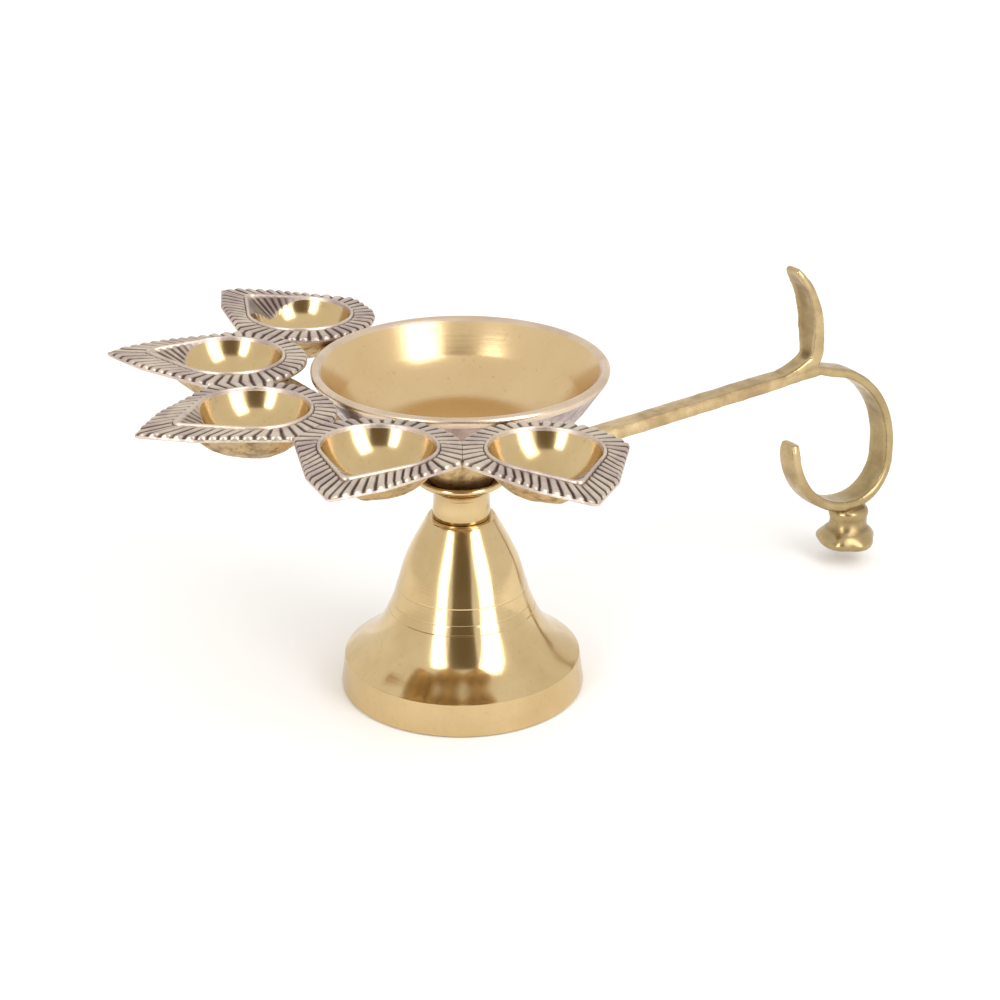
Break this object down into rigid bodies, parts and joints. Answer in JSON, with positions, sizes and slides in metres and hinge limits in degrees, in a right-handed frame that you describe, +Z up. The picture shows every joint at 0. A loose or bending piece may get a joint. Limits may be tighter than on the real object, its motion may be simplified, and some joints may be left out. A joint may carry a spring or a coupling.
{
  "type": "five cup aarti lamp",
  "caption": "Hand-held brass prayer lamp: a bell foot, a central bowl, a fan of leaf-shaped oil cups and a long handle with a thumb rest and finger loop.",
  "frame": {"origin": "centre of the foot ring's base plane, on the axis of the bell and the bowl", "axes": "+Z up along the axis of the bell and bowl; +X along the handle, away from the bowl; the middle cup points along -X"},
  "size_m": [0.2163, 0.1594, 0.086],
  "materials": {
    "polished_brass": "lathe-turned and buffed, fine turning rings",
    "antiqued_brass": "ribbed cast flange with a dull grey-lilac patina, buffed gold inside the dish",
    "cast_brass": "rough as cast, hand-filed",
    "handle_brass": "hand-filed and lightly buffed, brown in the hollows",
    "thread_brass": "machined thread"
  },
  "bodies": {
    "head": {"hub": "cast_brass", "cup_arm_1": "cast_brass", "cup_arm_2": "cast_brass", "cup_arm_3": "cast_brass", "cup_arm_4": "cast_brass", "cup_arm_5": "cast_brass", "lamp_cup_1": "antiqued_brass", "lamp_cup_2": "antiqued_brass", "lamp_cup_3": "antiqued_brass", "lamp_cup_4": "antiqued_brass", "lamp_cup_5": "antiqued_brass", "handle_bar": "handle_brass", "thumb_rest": "handle_brass", "finger_loop": "handle_brass", "loop_pad": "handle_brass"},
    "collar": {"neck_collar": "polished_brass"},
    "foot": {"bell_foot": "polished_brass"},
    "bowl": {"bowl": "polished_brass", "bowl_stud": "thread_brass"}
  },
  "joints": [
    {"name": "collar_drop", "type": "slide", "parent": "head", "child": "collar", "axis": [0, 0, -1], "range_m": [0, 0.0102]},
    {"name": "foot_turn", "type": "hinge", "parent": "collar", "child": "foot", "pos_m": [0, 0, 0], "axis": [0, 0, -1], "range_deg": [0, 2880]},
    {"name": "bowl_lift", "type": "slide", "parent": "head", "child": "bowl", "axis": [0, 0, 1], "range_m": [0, 0.045]}
  ],
  "couplings": [
    {"joint": "collar_drop", "follows": "foot_turn", "m_per_rad": 0.00020213}
  ]
}
